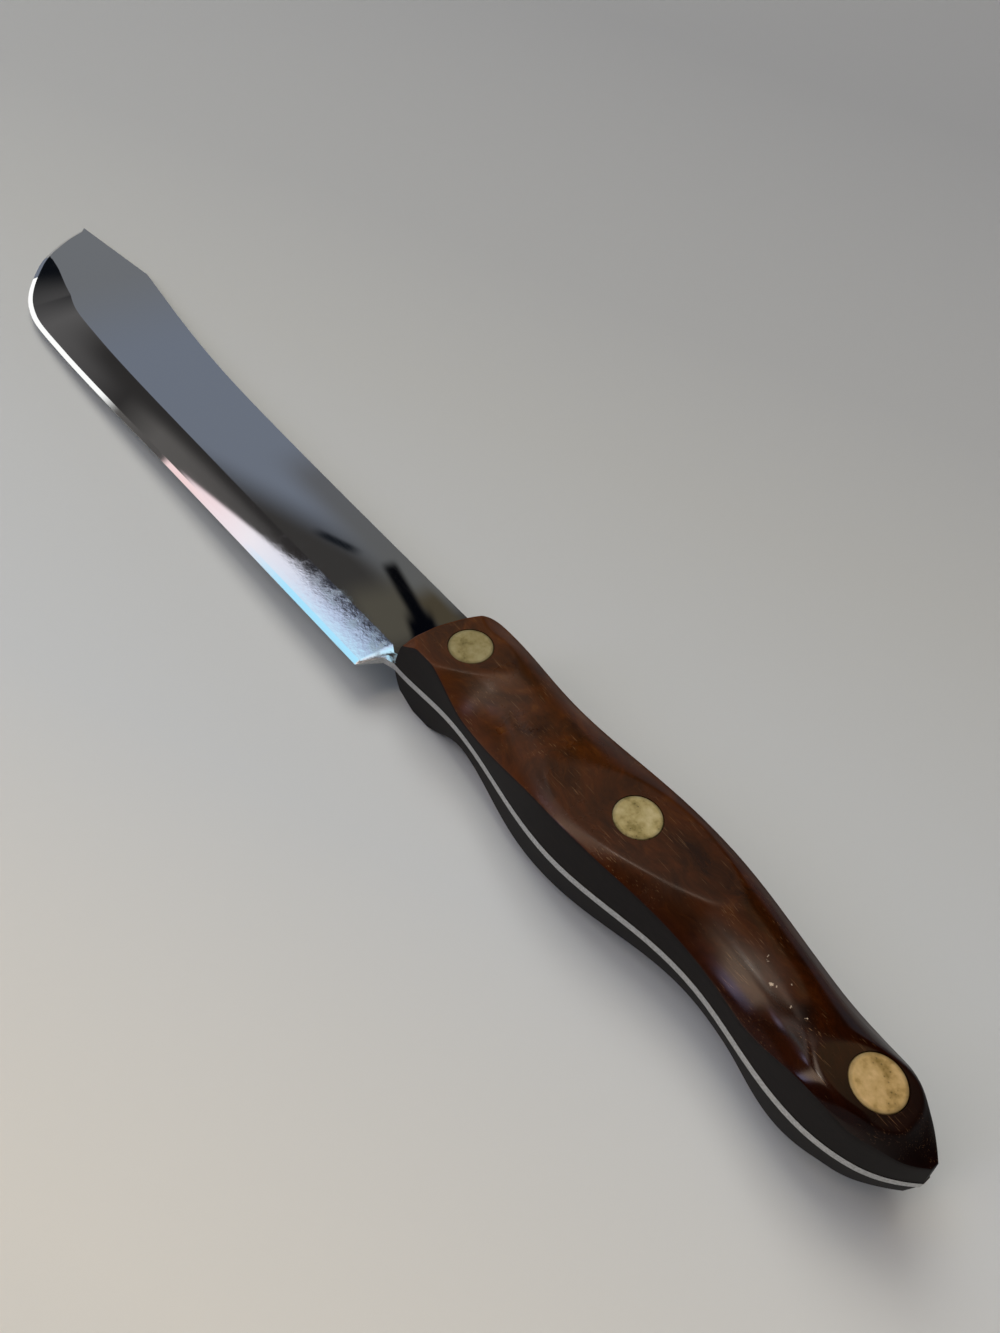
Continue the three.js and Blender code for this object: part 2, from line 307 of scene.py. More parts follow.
def ground_half(flat, grind, distance):
    """Half the steel's thickness at a distance from the cutting edge, behind the bevel."""
    ground = clamp((grind - distance) / GRIND_WIDTH)
    return lerp(SHOULDER_THICKNESS / 2, flat, (1 - ground) ** GRIND_CURVE)


def blade_section(edge, spine, grind, edge_half):
    """Points of one face from the edge to the spine."""
    share = clamp((edge.x - HEEL_X) / (TIP_X - HEEL_X))
    flat = lerp(STEEL_THICKNESS, TIP_THICKNESS, share) / 2
    width = (spine - edge).length
    hollow_end = max(grind, 2 * BEVEL_WIDTH)
    fit = min(1.0, width / (hollow_end + BEVEL_WIDTH))
    points = [(0.0, min(edge_half, flat))]
    for i in range(HOLLOW_STEPS + 1):
        distance = lerp(BEVEL_WIDTH, hollow_end, i / HOLLOW_STEPS)
        points.append((distance * fit, ground_half(flat, grind, distance)))
    for i in range(1, FLAT_STEPS + 1):
        points.append((lerp(hollow_end * fit, width, i / FLAT_STEPS), flat))
    return [(*edge.lerp(spine, distance / width), half) for distance, half in points]


def tang_sections():
    sections = []
    for i in range(TANG_STEPS + 1):
        x = lerp(BUTT, HANDLE_FRONT, (1 - math.cos(math.pi * i / TANG_STEPS)) / 2)
        start = HANDLE_FRONT - FRONT_CORNER_RUN
        spine = turn_in(spine_edge(x, TIP_X, BUTT, 0), -SPINE_RISE, x, start, HANDLE_FRONT, 1)
        edge = Vector((x, belly_edge(x, BUTT, 0)))
        sections.append(blade_section(edge, Vector((x, spine)), 0, STEEL_THICKNESS))
    notch = HANDLE_FRONT + CHOIL_RUN
    edge, spine = Vector((notch, CHOIL_DEPTH)), Vector((notch, -SPINE_RISE))
    return [*sections, blade_section(edge, spine, 0, STEEL_THICKNESS)]


def place_on(points, x):
    """Point at a place along a smooth curve that runs towards the tip."""
    low, high = 0.0, 1.0
    for _ in range(PLACE_HALVINGS):
        middle = (low + high) / 2
        if curve_through(points, middle).x < x:
            low = middle
        else:
            high = middle
    return curve_through(points, low)


def ground_sections():
    tip = Vector((TIP_X, -TIP_RISE))
    heel = Vector((HEEL_X, HEEL_DEPTH))
    nose = [Vector((TIP_X - run, depth)) for run, depth in NOSE_OUTLINE]
    edge = [heel, (heel + nose[0]) / 2, *nose, tip]
    nose_start = edge.index(nose[1]) / (len(edge) - 1)
    corner = Vector((TIP_X - CLIP_LENGTH, -CLIP_RISE))
    waist = Vector((corner.x - WAIST_LEAD, -WAIST_RISE))
    spine = [Vector((HANDLE_FRONT, -SPINE_RISE)), waist, corner]
    sections = []
    for i in range(BODY_STEPS + 1):
        edge_point = curve_through(edge, nose_start * i / BODY_STEPS)
        share = (edge_point.x - HEEL_X) / (nose[1].x - HEEL_X)
        spine_point = place_on(spine, lerp(HEEL_X, corner.x, share))
        grind = lerp(HEEL_GRIND_WIDTH, GRIND_WIDTH, share**2)
        sections.append(blade_section(edge_point, spine_point, grind, EDGE_THICKNESS / 2))
    for i in range(1, NOSE_STEPS + 1):
        share = min(i / NOSE_STEPS, 1 - EDGE_THICKNESS / CLIP_LENGTH)
        edge_point = curve_through(edge, lerp(nose_start, 1, share))
        grind = GRIND_WIDTH * max(0.0, 1 - (share / GRIND_RUN_OUT) ** RUN_OUT_CURVE)
        spine_point = corner.lerp(tip, share)
        sections.append(blade_section(edge_point, spine_point, grind, EDGE_THICKNESS / 2))
    return sections


# Making the pieces


def into_frame(point):
    """A point drawn in millimetres about the middle rivet, as metres in the frame."""
    return (ORIGIN + Vector(point)) * MM


def add_piece(bm, name, materials):
    mesh = bpy.data.meshes.new(name)
    bm.to_mesh(mesh)
    bm.free()
    for material in materials:
        mesh.materials.append(material)
    piece = bpy.data.objects.new(name, mesh)
    bpy.context.scene.collection.objects.link(piece)
    return piece


def place_piece(piece, slot, *nodes):
    """Smooths a finished piece, sets it on its body and lets it stand for its nodes."""
    mesh = piece.data
    mesh.polygons.foreach_set("use_smooth", [True] * len(mesh.polygons))
    creased = [edge.use_edge_sharp for edge in mesh.edges]
    mesh.set_sharp_from_angle(angle=SHARP_ANGLE)
    for edge, crease in zip(mesh.edges, creased):
        edge.use_edge_sharp |= crease
    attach(piece, "root")
    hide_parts(*nodes)


def spun(profile, axis):
    """Solid turned about a rivet's axis from radius and height pairs that start and end on it."""
    bm = bmesh.new()
    points = [into_frame((axis.x + radius, axis.y, height)) for radius, height in profile]
    verts = [bm.verts.new(point) for point in points]
    edges = [bm.edges.new(pair) for pair in zip(verts, verts[1:])]
    bmesh.ops.spin(
        bm,
        geom=verts + edges,
        cent=into_frame((axis.x, axis.y, 0)),
        axis=(0, 0, 1),
        angle=math.tau,
        steps=RIVET_STEPS,
        use_merge=True,
    )
    bmesh.ops.remove_doubles(bm, verts=bm.verts, dist=MERGE_DISTANCE)
    bmesh.ops.recalc_face_normals(bm, faces=bm.faces)
    return bm


def mark_rim(bm, axis, inner, outer):
    """Marks how far each point of a rivet lies from the inner to the outer radius."""
    rim = bm.verts.layers.float.new("rim")
    centre = into_frame(axis).xy
    for vert in bm.verts:
        vert[rim] = clamp(((vert.co.xy - centre).length / MM - inner) / (outer - inner))


def bore(piece, profile):
    """Cuts the same turned hole out of a piece at each rivet."""
    for axis in RIVETS.values():
        cutter = add_piece(spun(profile, axis), "cutter", [])
        cut = piece.modifiers.new("bore", "BOOLEAN")
        cut.operation = "DIFFERENCE"
        cut.solver = "EXACT"
        cut.object = cutter
        depsgraph = bpy.context.evaluated_depsgraph_get()
        mesh = bpy.data.meshes.new_from_object(piece.evaluated_get(depsgraph))
        piece.modifiers.remove(cut)
        piece.data = mesh
        bpy.data.objects.remove(cutter)


def resin_scale(name, look, materials):
    """The upper scale: a sheet over the sculpted side, rounded at its rim and drawn to the tang."""
    inset = look.edge_round / MM
    softness = look.ridge_softness / MM
    bm = bmesh.new()
    steps = {"x_segments": SCALE_STEPS_ALONG, "y_segments": SCALE_STEPS_ACROSS}
    bmesh.ops.create_grid(bm, **steps, size=HALF_SHEET)
    along, across, thin = [bm.verts.layers.float.new(layer) for layer in SCALE_LAYERS]
    for vert in bm.verts:
        vert[along] = vert.co.x + HALF_SHEET
        vert[across] = vert.co.y + HALF_SHEET
        point = top_point(vert[along], vert[across], inset, softness)
        vert[thin] = thinness(point)
        vert.co = into_frame(point)
    rim = [edge for edge in bm.edges if edge.is_boundary]
    for step in range(1, ROUND_STEPS + WALL_STEPS + 1):
        grown = bmesh.ops.extrude_edge_only(bm, edges=rim)["geom"]
        for vert in (part for part in grown if isinstance(part, bmesh.types.BMVert)):
            high = top_point(vert[along], vert[across], inset, softness).z
            low = top_point(vert[along], vert[across], 0, softness).z
            turn = min(step / ROUND_STEPS, 1.0)
            shrink = (1 - turn) ** 2
            z = shrink * high + 2 * turn * (1 - turn) * low + turn**2 * (low - inset)
            z = lerp(z, SEAT, max(0, step - ROUND_STEPS) / WALL_STEPS)
            vert[thin] = 1.0
            vert.co = into_frame(outline_point(vert[along], vert[across], z, shrink * inset))
        for face in (part for part in grown if isinstance(part, bmesh.types.BMFace)):
            # Faces past half the round take the edge band's material, painted dark for shade
            face.material_index = 1 if turn > BAND_START else 0
        rim = [part for part in grown if isinstance(part, bmesh.types.BMEdge) and part.is_boundary]
    bmesh.ops.contextual_create(bm, geom=rim)
    bmesh.ops.recalc_face_normals(bm, faces=bm.faces)
    piece = add_piece(bm, name, materials)
    head = HEAD_DIAMETER / 2 + BORE_CLEARANCE
    seat = HALF_THICKNESS - HEAD_THICKNESS - BORE_CLEARANCE
    above = HALF_THICKNESS + HEAD_THICKNESS
    shank = TUBE_DIAMETER / 2 + BORE_CLEARANCE
    bore(piece, [(0, 0), (shank, 0), (shank, seat), (head, seat), (head, above), (0, above)])
    return piece


def thinness(point):
    """How near a place on the sculpted side is to its rim, where the light that shows through is
    painted as a glow.
    """
    butt = BUTT + wave(BAND_LEAN, BUTT) * point.z
    lean = wave(BAND_LEAN, point.x) * point.z
    to_belly = belly_edge(point.x, butt, lean) - point.y
    to_spine = point.y - spine_edge(point.x, HANDLE_FRONT, butt, lean)
    return math.exp(-max(0.0, min(to_belly, to_spine)) / THIN_REACH)


def mirrored(piece, name):
    """A copy of a piece in the blade's middle plane."""
    bm = bmesh.new()
    bm.from_mesh(piece.data)
    middle = Matrix.Translation((0, 0, ORIGIN.z * MM))
    flip = middle @ Matrix.Scale(-1, 4, (0, 0, 1)) @ middle.inverted()
    bmesh.ops.transform(bm, matrix=flip, verts=bm.verts)
    bmesh.ops.reverse_faces(bm, faces=bm.faces)
    return add_piece(bm, name, piece.data.materials)


def steel_blade(name, materials):
    """Blade and tang: a face over its sections, its rim drawn to the middle plane, mirrored."""
    sections = [*tang_sections(), *ground_sections()]
    steps_along, steps_across = len(sections) - 1, len(sections[0]) - 1
    bm = bmesh.new()
    bmesh.ops.create_grid(bm, x_segments=steps_along, y_segments=steps_across, size=HALF_SHEET)
    for vert in bm.verts:
        section = sections[round((vert.co.x + HALF_SHEET) * steps_along)]
        row = round((vert.co.y + HALF_SHEET) * steps_across)
        vert.co = Vector(section[row])
        vert.index = row
    for edge in bm.edges:
        rows = {vert.index for vert in edge.verts}
        edge.smooth = len(rows) > 1 or not rows & CREASED_ROWS
    rim = [edge for edge in bm.edges if edge.is_boundary]
    grown = bmesh.ops.extrude_edge_only(bm, edges=rim)["geom"]
    for part in grown:
        if isinstance(part, bmesh.types.BMVert):
            part.co.z = 0
        if isinstance(part, bmesh.types.BMFace):
            part.material_index = 1
    geom = bm.verts[:] + bm.edges[:] + bm.faces[:]
    bmesh.ops.mirror(bm, geom=geom, axis="Z", merge_dist=MERGE_DISTANCE)
    bmesh.ops.recalc_face_normals(bm, faces=bm.faces)
    bmesh.ops.transform(bm, matrix=Matrix.Scale(MM, 4) @ Matrix.Translation(ORIGIN), verts=bm.verts)
    piece = add_piece(bm, name, materials)
    shank, through = TUBE_DIAMETER / 2 + BORE_CLEARANCE, STEEL_THICKNESS
    bore(piece, [(0, -through), (shank, -through), (shank, through), (0, through)])
    return piece


def rivet_profiles(rim):
    """Radius and height pairs of a rivet's pin half and tube half, with the heads' round rim."""
    head, pin = HEAD_DIAMETER / 2, PIN_DIAMETER / 2
    tube, tube_bore = TUBE_DIAMETER / 2, PIN_DIAMETER / 2 + BORE_CLEARANCE
    top, shoulder = HALF_THICKNESS, HALF_THICKNESS - HEAD_THICKNESS
    mouth = shoulder - BORE_CLEARANCE
    clean = head - rim - RIM_DIRT
    corner = [
        (head - rim + rim * math.cos(angle), top - rim + rim * math.sin(angle))
        for angle in [math.pi / 2 * step / ROUND_STEPS for step in range(ROUND_STEPS + 1)]
    ]
    solid = [(0, -mouth), (pin, -mouth), (pin, shoulder), (head, shoulder)]
    solid += [*corner, (clean, top), (0, top)]
    hollow = [(0, -top), (clean, -top)]
    hollow += [(radius, -height) for radius, height in reversed(corner)]
    hollow += [(head, -shoulder), (tube, -shoulder), (tube, mouth), (tube_bore, mouth)]
    hollow += [(tube_bore, -shoulder), (0, -shoulder)]
    return {"pin": solid, "tube": hollow}


# Materials

# Sockets of a Mix node for colours and for numbers, and settings that several nodes share
MIX_FACTOR, MIX_A, MIX_B, MIX_RESULT = 0, 6, 7, 2
NUMBER_A, NUMBER_B = 2, 3
BLEND = {"data_type": "RGBA", "out": MIX_RESULT}
TINT = {**BLEND, "blend_type": "MULTIPLY"}
SMOOTH = {"interpolation_type": "SMOOTHSTEP"}

# Resin: its drawn-out patterns, with size in millimetres, stretch along the handle and detail, and
# its plain noises, with size in millimetres and detail
RESIN_PATTERNS = (("cloud", 5.0, 0.5, 6.0), ("vein", 12.0, 0.5, 4.0), ("fibre", 0.6, 0.15, 3.0))
RESIN_NOISES = {
    "swirl": (24.0, 2.0),
    "touch": (7.0, 2.0),
    "crumble": (0.5, 3.0),
    "smudge": (9.0, 5.0),
    "ripple": (5.0, 1.0),
}
MARBLING = {"Roughness": 0.62, "Distortion": 0.4}
RESIN_IOR = 1.33
SWIRL_REACH = 20.0
CLOUD_STOPS = (0.30, 0.45, 0.58, 0.74)
VEIN_LINE = {"From Min": 0.012, "From Max": 0.0, "To Max": 0.22}
FIBRE_SHADE = {"From Min": 0.3, "From Max": 0.7, "To Min": 0.84, "To Max": 1.16}
FIBRE_RELIEF = 0.12
# Share of the painted glow at the thin rim
RIM_PAINTED_GLOW = 0.55
WORN_THROUGH = 0.55
RIPPLE_DEPTH = 0.06

# Tone of the resin, and the painted glow that stands for light showing through its thin rim, from
# butt to front
RESIN_TONES = (
    (0.0, "#3a2824"),
    (0.12, "#6a5048"),
    (0.25, "#b09484"),
    (0.45, "#c8b4a4"),
    (0.7, "#e0d4c6"),
    (1.0, "#f0eae0"),
)
RESIN_PAINTED_GLOWS = ((0.1, "#140302"), (0.4, "#2e0f05"), (0.9, "#552808"))

# Dull rim of the resin on the spine's side and at the butt: where it lies, and its finish
SPINE_SIDE = {"From Min": 0.5, "From Max": 0.8}
BUTT_END = {"From Min": 0.1, "From Max": 0.03}
DULL_ROUGHNESS = 0.7
DULL_SHEEN = {"To Min": 0.5, "To Max": 0.12}

# Scuffs on the resin: turn in radians, width in millimetres and the pale end of their noise
SCUFFS = ((0.5, 0.18, 0.68), (-0.9, 0.2, 0.69))
SCUFF_EDGE = 0.06
HANDLED_PATCH = {"From Min": 0.46, "From Max": 0.62, "To Max": 0.5}

# Chips in the upper scale ahead of the rear rivet: place and radius in millimetres
CHIPS = (
    (-32.4, -0.4, 0.18),
    (-33.0, 0.3, 0.2),
    (-36.2, 2.7, 0.42),
    (-36.9, 2.3, 0.2),
    (-38.1, 0.0, 0.24),
    (-40.7, 3.0, 0.18),
    (-43.5, 2.5, 0.16),
)
CHIP_CORE = 0.5
CHIP_COVER = 0.8
CRUMBLE_REACH = 1.2

# How much each axis counts in the distance from a chip, so that it shows at any height of its side
CHIP_WEIGHTS = (1.0, 1.0, 0.1)

# Sanded edge of the resin, its near black colour painted shade
GRIT_SIZE = 0.4
GRIT_STRETCH = (0.1, 1.0, 1.0)
GRIT_SHADE = {"From Min": 0.3, "From Max": 0.7, "To Min": 0.6, "To Max": 1.4}
GRIT_ROUGHNESS = {"To Min": 0.6, "To Max": 0.8}

# Steel: its plain noises, with size in millimetres, detail and roughness, its hairlines and satin
# grain in millimetres, and what they give
STEEL_NOISES = {"haze": (25.0, 3.0, 0.5), "mottle": (1.3, 5.0, 0.65), "smear": (4.0, 5.0, 0.6)}
DRAWN_OUT = (0.03, 1.0, 1.0)
HAIRLINE_SIZE = 0.5
WIPED = {"From Min": 0.1, "From Max": 0.45}
WIPED_ROUGHNESS = 2.5
MOTTLE_DEPTH = 0.03
SMEAR = {"From Min": 0.48, "From Max": 0.62, "To Max": 0.16}
SATIN_SIZE = 0.4
SATIN_TONES = ((0.3, "#a9a9a9"), (0.7, "#d2d2d2"))
SATIN_ROUGHNESS = {"To Min": 0.32, "To Max": 0.6}

# Dulled part of the hollow: axis, and where it is clear and full in millimetres from the grind line
# at the heel, first along the blade, then past the line, then near the line
HEEL_MASKS = ((0, 55.0, 0.0), (1, -1.5, 1.5), (1, 7.0, 3.0))

# Rivets: tone from butt to front, darkest in front, and patches and pits in millimetres
RIVET_TONES = ((0.1, "#ffe4b8"), (0.5, "#e8e2c0"), (0.85, "#beba9a"))
PATCH_SIZE = 3.2
PATCH_STOPS = (0.32, 0.47, 0.64)
TARNISH_CODE, RUBBED_CODE, DIRT_CODE = "#8c8458", "#dad6be", "#3a331c"
PATCH_ROUGHNESS = {"To Min": 0.4, "To Max": 0.65}
PIT_SPACING = 1.1
PIT_EDGE = {"From Min": 0.18, "From Max": 0.08, "To Max": 0.55}
PITTED_PATCH = {"From Min": 0.46, "From Max": 0.38}
RIM_COVER = 0.6
RIVET_METALLIC = 0.4

# Table: tones along its shading, and the shading's direction, start and end in metres
TABLE_TONES = (
    (0.0, "#9ba1a3"),
    (0.45, "#aab0b0"),
    (0.6, "#b5bbb9"),
    (0.85, "#c6cecf"),
    (1.0, "#dcded5"),
)
TABLE_SHADING = ((-0.43, 0.9, 0.0), -0.405, 0.135)


def per_metre(size):
    """Scale of a pattern whose features are this many millimetres wide."""
    return 1 / (size * MM)


def add(tree, kind, inputs=None, stops=None, out=0, **settings):
    """Adds a shader node with its settings, the stops of its ramp, and values or links by input.

    Gives back its first output, or the one that out names.
    """
    node = tree.nodes.new(f"ShaderNode{kind}")
    for name, value in settings.items():
        setattr(node, name, value)
    if stops:
        elements = node.color_ramp.elements
        while len(elements) < len(stops):
            elements.new(1.0)
        for element, (place, colour) in zip(elements, stops):
            element.position = place
            element.color = colour
    for key, value in (inputs or {}).items():
        if isinstance(value, bpy.types.NodeSocket):
            tree.links.new(value, node.inputs[key])
        else:
            node.inputs[key].default_value = value
    return node.outputs[out] if node.outputs else None


def number(tree, operation, *values, **settings):
    """A number worked out from values or links."""
    return add(tree, "Math", dict(enumerate(values)), operation=operation, **settings)


def ranged(tree, value, ends, **settings):
    """A value carried from one range over to another."""
    return add(tree, "MapRange", {"Value": value, **ends}, **settings)


def noise_at(tree, place, size, detail, **more):
    """Noise with features this many millimetres wide."""
    plain = {"Vector": place, "Scale": per_metre(size), "Detail": detail}
    return add(tree, "TexNoise", {**plain, **more})


def toned(tree, share, tones):
    """A colour from places and sRGB hex colours, or one colour all along."""
    if isinstance(tones, str):
        tones = ((0.0, tones), (1.0, tones))
    stops = [(place, linear(code)) for place, code in tones]
    return add(tree, "ValToRGB", {"Fac": share}, stops=stops)


def mixed(tree, share, first, second, settings=BLEND):
    """A colour laid over the first one, or multiplied with it."""
    return add(tree, "Mix", {MIX_FACTOR: share, MIX_A: first, MIX_B: second}, **settings)


def new_material(name):
    """An empty material, its node tree and the place on the piece."""
    material = bpy.data.materials.new(name)
    material.use_nodes = True
    tree = material.node_tree
    tree.nodes.clear()
    return material, tree, add(tree, "TexCoord", out="Object")


def shaded(material, inputs):
    """The material with its shader, given values or links by input."""
    surface = add(material.node_tree, "BsdfPrincipled", inputs)
    add(material.node_tree, "OutputMaterial", {"Surface": surface})
    return material


def handle_share(tree, place):
    """Share of the way from the handle's butt to its front."""
    x = add(tree, "SeparateXYZ", {"Vector": place}, out="X")
    return ranged(tree, x, {"From Min": SCALE_LOW.x * MM, "From Max": SCALE_HIGH.x * MM})


def marbled_resin(look):
    """Cast phenolic resin, swirled, sculpted and polished by hand.

    Mottled brown drawn out along the handle, darker and redder towards the butt, with a painted
    glow for the light that shows through where the rim is thin, faint veins, pale scuffs and chips
    ahead of the rear rivet. Use has worn the polish in front, and the rim is dull on the spine's
    side and at the butt.
    """
    material, tree, place = new_material("marbled_resin")
    along = handle_share(tree, place)
    noises = {
        name: noise_at(tree, place, size, detail).node.outputs
        for name, (size, detail) in RESIN_NOISES.items()
    }
    shift = {0: noises["swirl"]["Color"], 1: (SWIRL_REACH * MM,) * 3, 2: place}
    swirled = add(tree, "VectorMath", shift, operation="MULTIPLY_ADD")
    patterns = {}
    for name, size, stretch, detail in RESIN_PATTERNS:
        drawn = add(tree, "Mapping", {"Vector": swirled, "Scale": (stretch, 1.0, 1.0)})
        patterns[name] = noise_at(tree, drawn, size, detail, **MARBLING)
    browns = (look.deep_colour, look.body_colour, look.warm_colour, look.gold_colour)
    clouds = list(zip(CLOUD_STOPS, browns))
    colour = add(tree, "ValToRGB", {"Fac": patterns["cloud"]}, stops=clouds)
    off_mean = number(tree, "SUBTRACT", patterns["vein"], 0.5)
    vein = ranged(tree, number(tree, "ABSOLUTE", off_mean), VEIN_LINE, **SMOOTH)
    colour = mixed(tree, vein, colour, look.gold_colour)
    fibre_shade = ranged(tree, patterns["fibre"], FIBRE_SHADE)
    colour = add(tree, "VectorMath", {0: colour, "Scale": fibre_shade}, operation="SCALE")
    colour = mixed(tree, 1.0, colour, toned(tree, along, RESIN_TONES), TINT)
    # Painted glow: light showing through the thin rim, painted into the colour
    thin = add(tree, "Attribute", attribute_name="thin", out="Fac")
    lit = number(tree, "MULTIPLY", thin, RIM_PAINTED_GLOW)
    colour = mixed(tree, lit, colour, toned(tree, along, RESIN_PAINTED_GLOWS))
    handled = ranged(tree, noises["touch"]["Fac"], HANDLED_PATCH)
    for turn, width, pale in SCUFFS:
        turned = {"Vector": place, "Rotation": (0.0, 0.0, turn), "Scale": DRAWN_OUT}
        streak = noise_at(tree, add(tree, "Mapping", turned), width, detail=1.0)
        line = ranged(tree, streak, {"From Min": pale, "From Max": pale + SCUFF_EDGE})
        mark = number(tree, "MULTIPLY", line, handled)
        colour = mixed(tree, mark, colour, look.scuff_colour)
    crumble = (CRUMBLE_REACH * MM, CRUMBLE_REACH * MM, 0.0)
    shift = {0: noises["crumble"]["Color"], 1: crumble, 2: place}
    ragged = add(tree, "VectorMath", shift, operation="MULTIPLY_ADD")
    level = add(tree, "VectorMath", {0: ragged, 1: CHIP_WEIGHTS}, operation="MULTIPLY")
    for x, y, radius in CHIPS:
        centre = into_frame((x + CRUMBLE_REACH / 2, y + CRUMBLE_REACH / 2, HALF_THICKNESS))
        ends = {0: level, 1: centre * Vector(CHIP_WEIGHTS)}
        away = add(tree, "VectorMath", ends, operation="DISTANCE", out="Value")
        edge = {"From Min": radius * MM, "From Max": CHIP_CORE * radius * MM, "To Max": CHIP_COVER}
        colour = mixed(tree, ranged(tree, away, edge), colour, look.chip_colour)
    worn = number(tree, "MULTIPLY", along, noises["smudge"]["Fac"])
    wear = {"From Max": WORN_THROUGH, "To Min": look.polish, "To Max": look.wear}
    polish = ranged(tree, worn, wear)
    across = add(tree, "Attribute", attribute_name="across", out="Fac")
    by_spine = ranged(tree, across, SPINE_SIDE)
    by_butt = ranged(tree, along, BUTT_END)
    dulled = number(tree, "MULTIPLY_ADD", thin, by_spine, by_butt, use_clamp=True)
    finish = {MIX_FACTOR: dulled, NUMBER_A: polish, NUMBER_B: DULL_ROUGHNESS}
    relief = number(tree, "MULTIPLY_ADD", patterns["fibre"], FIBRE_RELIEF, noises["ripple"]["Fac"])
    bump = {"Strength": 0.15, "Distance": RIPPLE_DEPTH * MM, "Height": relief}
    return shaded(
        material,
        {
            "Base Color": colour,
            "Roughness": add(tree, "Mix", finish),
            "Specular IOR Level": ranged(tree, dulled, DULL_SHEEN),
            "IOR": RESIN_IOR,
            "Normal": add(tree, "Bump", bump),
        },
    )


def sanded_resin(look):
    """The resin's edge, sanded flush with the tang: dull, with drawn grain, and painted near black
    as shade.
    """
    material, tree, place = new_material("sanded_resin_edge_painted_shade")
    drawn = add(tree, "Mapping", {"Vector": place, "Scale": GRIT_STRETCH})
    grain = noise_at(tree, drawn, GRIT_SIZE, detail=4.0)
    # Painted shade: the band's near black colour stands for the shade it lies in
    band = {0: look.shaded_band_colour[:3], "Scale": ranged(tree, grain, GRIT_SHADE)}
    return shaded(
        material,
        {
            "Base Color": add(tree, "VectorMath", band, operation="SCALE"),
            "Roughness": ranged(tree, grain, GRIT_ROUGHNESS),
            "Specular IOR Level": 0.2,
        },
    )


def polished_steel(look):
    """Stainless steel, hollow ground and buffed to a mirror.

    Shows its surroundings sharply, with hairlines from wiping along the blade. By the heel, where
    it is sharpened most, the hollow is mottled, and hazed near the grind line.
    """
    material, tree, place = new_material("polished_stainless_steel")
    drawn = add(tree, "Mapping", {"Vector": place, "Scale": DRAWN_OUT})
    hairline = noise_at(tree, drawn, HAIRLINE_SIZE, detail=3.0)
    noises = {
        name: noise_at(tree, place, size, detail, Roughness=breakup)
        for name, (size, detail, breakup) in STEEL_NOISES.items()
    }
    wiped = number(tree, "MULTIPLY", hairline, noises["haze"])
    mirror = {"To Min": look.polish, "To Max": look.polish * WIPED_ROUGHNESS}
    roughness = ranged(tree, wiped, {**WIPED, **mirror})
    split = add(tree, "SeparateXYZ", {"Vector": place}).node.outputs
    heel = into_frame((HEEL_X, HEEL_DEPTH - HEEL_GRIND_WIDTH, 0))
    masks = []
    for axis, clear, full in HEEL_MASKS:
        edge = {"From Min": heel[axis] + clear * MM, "From Max": heel[axis] + full * MM}
        masks.append(ranged(tree, split[axis], edge, **SMOOTH))
    by_heel, in_hollow, by_line = masks
    dulled = number(tree, "MULTIPLY", by_heel, in_hollow)
    off_mean = number(tree, "SUBTRACT", noises["mottle"], 0.5)
    relief = number(tree, "MULTIPLY", off_mean, dulled)
    bump = {"Strength": 0.4, "Distance": MOTTLE_DEPTH * MM, "Height": relief}
    smear = ranged(tree, noises["smear"], SMEAR)
    near_line = number(tree, "MULTIPLY", smear, by_line)
    return shaded(
        material,
        {
            "Base Color": look.steel_colour,
            "Metallic": 1.0,
            "Roughness": number(tree, "MULTIPLY_ADD", near_line, dulled, roughness),
            "Normal": add(tree, "Bump", bump),
        },
    )


def satin_steel():
    """The same steel where it was only ground: spine, tang and edge, dull with fine grain."""
    material, tree, place = new_material("satin_stainless_steel")
    grain = noise_at(tree, place, SATIN_SIZE, detail=3.0)
    return shaded(
        material,
        {
            "Base Color": toned(tree, grain, SATIN_TONES),
            "Metallic": 1.0,
            "Roughness": ranged(tree, grain, SATIN_ROUGHNESS),
        },
    )


def nickel_silver(look):
    """Nickel silver, sanded flush with the scales and left to tarnish.

    Yellow-grey, warmer and brighter at the rear, with cloudy patches, small dark pits and a dirty
    rim.
    """
    material, tree, place = new_material("tarnished_nickel_silver")
    patch = noise_at(tree, place, PATCH_SIZE, detail=6.0, Roughness=0.6)
    metals = (linear(TARNISH_CODE), look.metal_colour, linear(RUBBED_CODE))
    patches = list(zip(PATCH_STOPS, metals))
    colour = add(tree, "ValToRGB", {"Fac": patch}, stops=patches)
    tone = toned(tree, handle_share(tree, place), RIVET_TONES)
    colour = mixed(tree, 1.0, colour, tone, TINT)
    spots = {"Vector": place, "Scale": per_metre(PIT_SPACING)}
    cell = add(tree, "TexVoronoi", spots, voronoi_dimensions="2D")
    tarnished = ranged(tree, patch, PITTED_PATCH)
    pitted = number(tree, "MULTIPLY", ranged(tree, cell, PIT_EDGE), tarnished)
    rim = add(tree, "Attribute", attribute_name="rim", out="Fac")
    dirt = number(tree, "MULTIPLY_ADD", rim, RIM_COVER, pitted, use_clamp=True)
    return shaded(
        material,
        {
            "Base Color": mixed(tree, dirt, colour, linear(DIRT_CODE)),
            "Metallic": RIVET_METALLIC,
            "Roughness": ranged(tree, patch, PATCH_ROUGHNESS),
        },
    )


def table_top(look):
    """Pale satin laminate, which falls off into shade away from the light."""
    material, tree, place = new_material("pale_satin_laminate")
    direction, near, far = TABLE_SHADING
    ends = {0: place, 1: direction}
    reach = add(tree, "VectorMath", ends, operation="DOT_PRODUCT", out="Value")
    share = ranged(tree, reach, {"From Min": near, "From Max": far})
    tone = toned(tree, share, TABLE_TONES)
    return shaded(
        material,
        {
            "Base Color": mixed(tree, 1.0, tone, look.floor_colour, TINT),
            "Roughness": 0.6,
            "Specular IOR Level": 0.3,
        },
    )


# Stage

# Height of a direction over which the room runs into the pale walls low around the knife, and the
# least height that is drawn on the ceiling
HORIZON = {"From Min": 0.5, "From Max": 0.36}
LEAST_HEIGHT = 0.02

